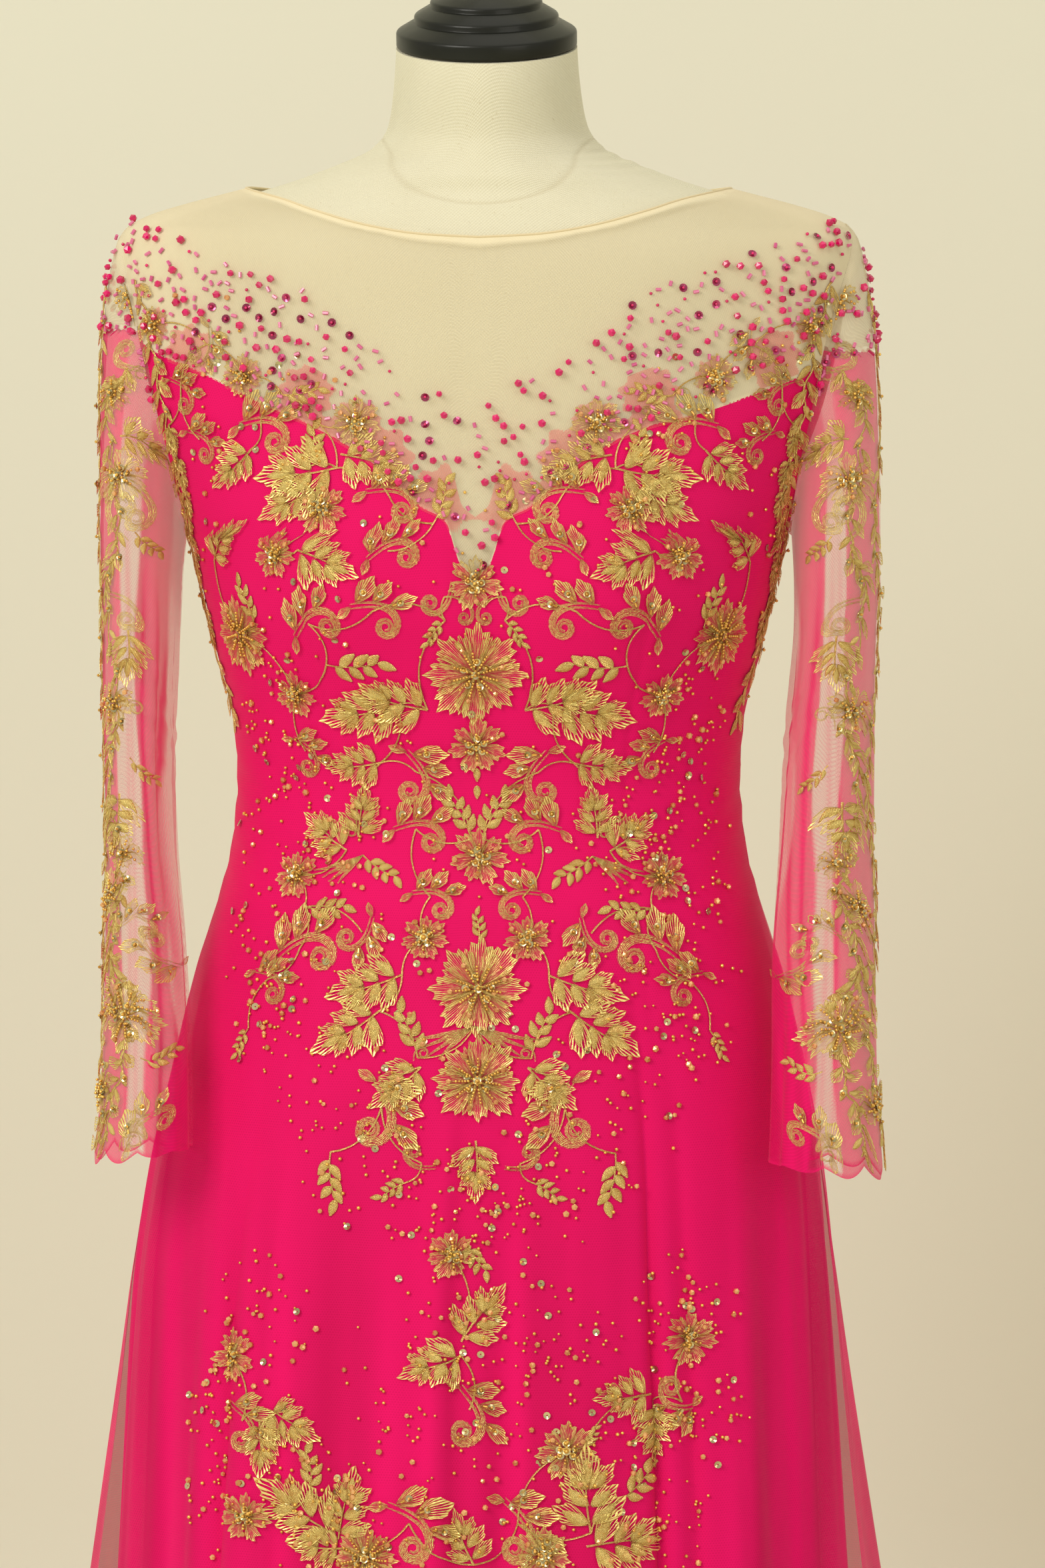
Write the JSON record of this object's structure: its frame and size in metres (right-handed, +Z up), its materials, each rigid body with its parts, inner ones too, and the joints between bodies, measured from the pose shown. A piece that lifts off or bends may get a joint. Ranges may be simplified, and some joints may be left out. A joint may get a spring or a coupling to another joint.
{
  "type": "ao dai on a dress form",
  "caption": "Fitted floor-length ao dai in pink tulle with a nude mesh yoke, sheer long sleeves and raised gold applique, on a limbless dress form with pole and round base.",
  "frame": {"origin": "middle of the underside of the round base, on the floor", "axes": "+Z up; the front of the garment faces -Y; +X is the right of the picture"},
  "size_m": [0.6357, 0.5383, 1.4887],
  "materials": {
    "canvas": "cream cotton canvas, matte plain weave",
    "black_lacquer": "black satin lacquer on turned wood and metal",
    "steel": "brushed steel",
    "nude_mesh": "nude power mesh, fine and sheer",
    "tan_binding": "tan rolled mesh edge",
    "pink_tulle": "hot pink tulle net, sheer in one layer",
    "pink_under": "deep pink opaque satin-back crepe",
    "gold_thread": "metallic gold embroidery thread and beads",
    "pink_crystal": "faceted pink beads and glossy sequins"
  },
  "bodies": {
    "root": {"form_torso": "canvas", "neck_cap": "black_lacquer", "form_collar": "black_lacquer", "pole": "steel", "base": "black_lacquer", "yoke_front": "nude_mesh", "yoke_back": "nude_mesh", "neck_binding": "tan_binding", "front_panel": "pink_tulle", "front_under_flap": "pink_under", "back_panel": "pink_tulle", "back_under_flap": "pink_under", "sleeve_head_left": "nude_mesh", "sleeve_head_right": "nude_mesh", "sleeve_left": "pink_tulle", "sleeve_right": "pink_tulle", "back_zip": "tan_binding", "zip_pull": "steel"}
  },
  "joints": []
}
